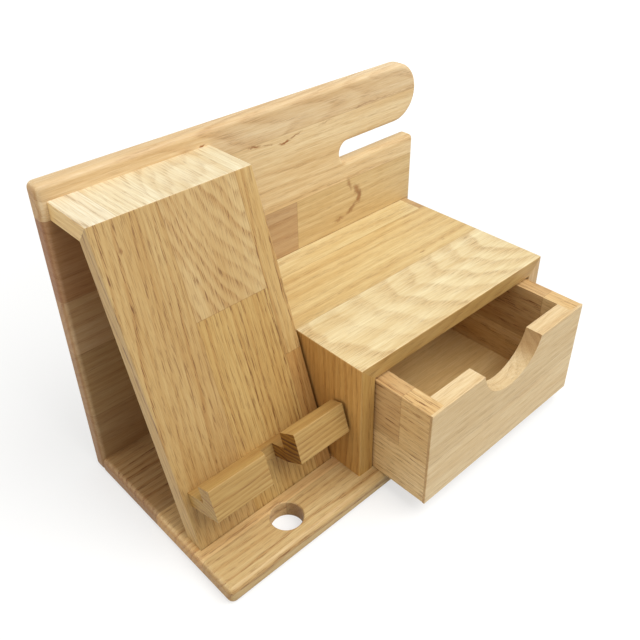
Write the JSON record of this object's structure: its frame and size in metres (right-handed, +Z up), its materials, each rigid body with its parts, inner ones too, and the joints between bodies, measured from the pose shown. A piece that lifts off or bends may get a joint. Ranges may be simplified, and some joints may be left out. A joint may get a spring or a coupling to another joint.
{
  "type": "valet box with drawer",
  "caption": "Oak desk valet: base and tall back board with a watch arm, a leaning phone panel with a notched rest, and a mitred housing with a sliding drawer.",
  "frame": {"origin": "centre of the footprint of base and back board, on the underside", "axes": "+Z up, +X to the right and -Y to the front as someone sits before it; the drawer opens towards -Y"},
  "size_m": [0.3, 0.1835, 0.211],
  "materials": {
    "oak_base": "oiled edge-glued oak",
    "oak_back": "oiled edge-glued oak",
    "oak_panel": "oiled edge-glued oak",
    "oak_ledge": "oiled edge-glued oak",
    "oak_rest": "oiled solid oak",
    "oak_housing_top": "oiled edge-glued oak",
    "oak_housing_side": "oiled edge-glued oak",
    "oak_drawer_front": "oiled edge-glued oak",
    "oak_drawer_side": "oiled edge-glued oak",
    "oak_ply": "oak-faced plywood",
    "beech": "beech dowel"
  },
  "bodies": {
    "stand": {"base_board": "oak_base", "back_board": "oak_back", "phone_panel": "oak_panel", "ledge_board": "oak_ledge", "phone_rest": "oak_rest", "housing_top": "oak_housing_top", "housing_left_side": "oak_housing_side", "housing_right_side": "oak_housing_side", "back_dowels": "beech", "housing_dowels": "beech", "ledge_dowels": "beech", "rest_dowels": "beech"},
    "drawer": {"drawer_front": "oak_drawer_front", "drawer_left_side": "oak_drawer_side", "drawer_right_side": "oak_drawer_side", "drawer_back": "oak_drawer_side", "drawer_floor": "oak_ply"}
  },
  "joints": [
    {"name": "drawer_slide", "type": "slide", "parent": "stand", "child": "drawer", "axis": [0, -1, 0], "range_m": [-0.0435, 0.055]}
  ]
}
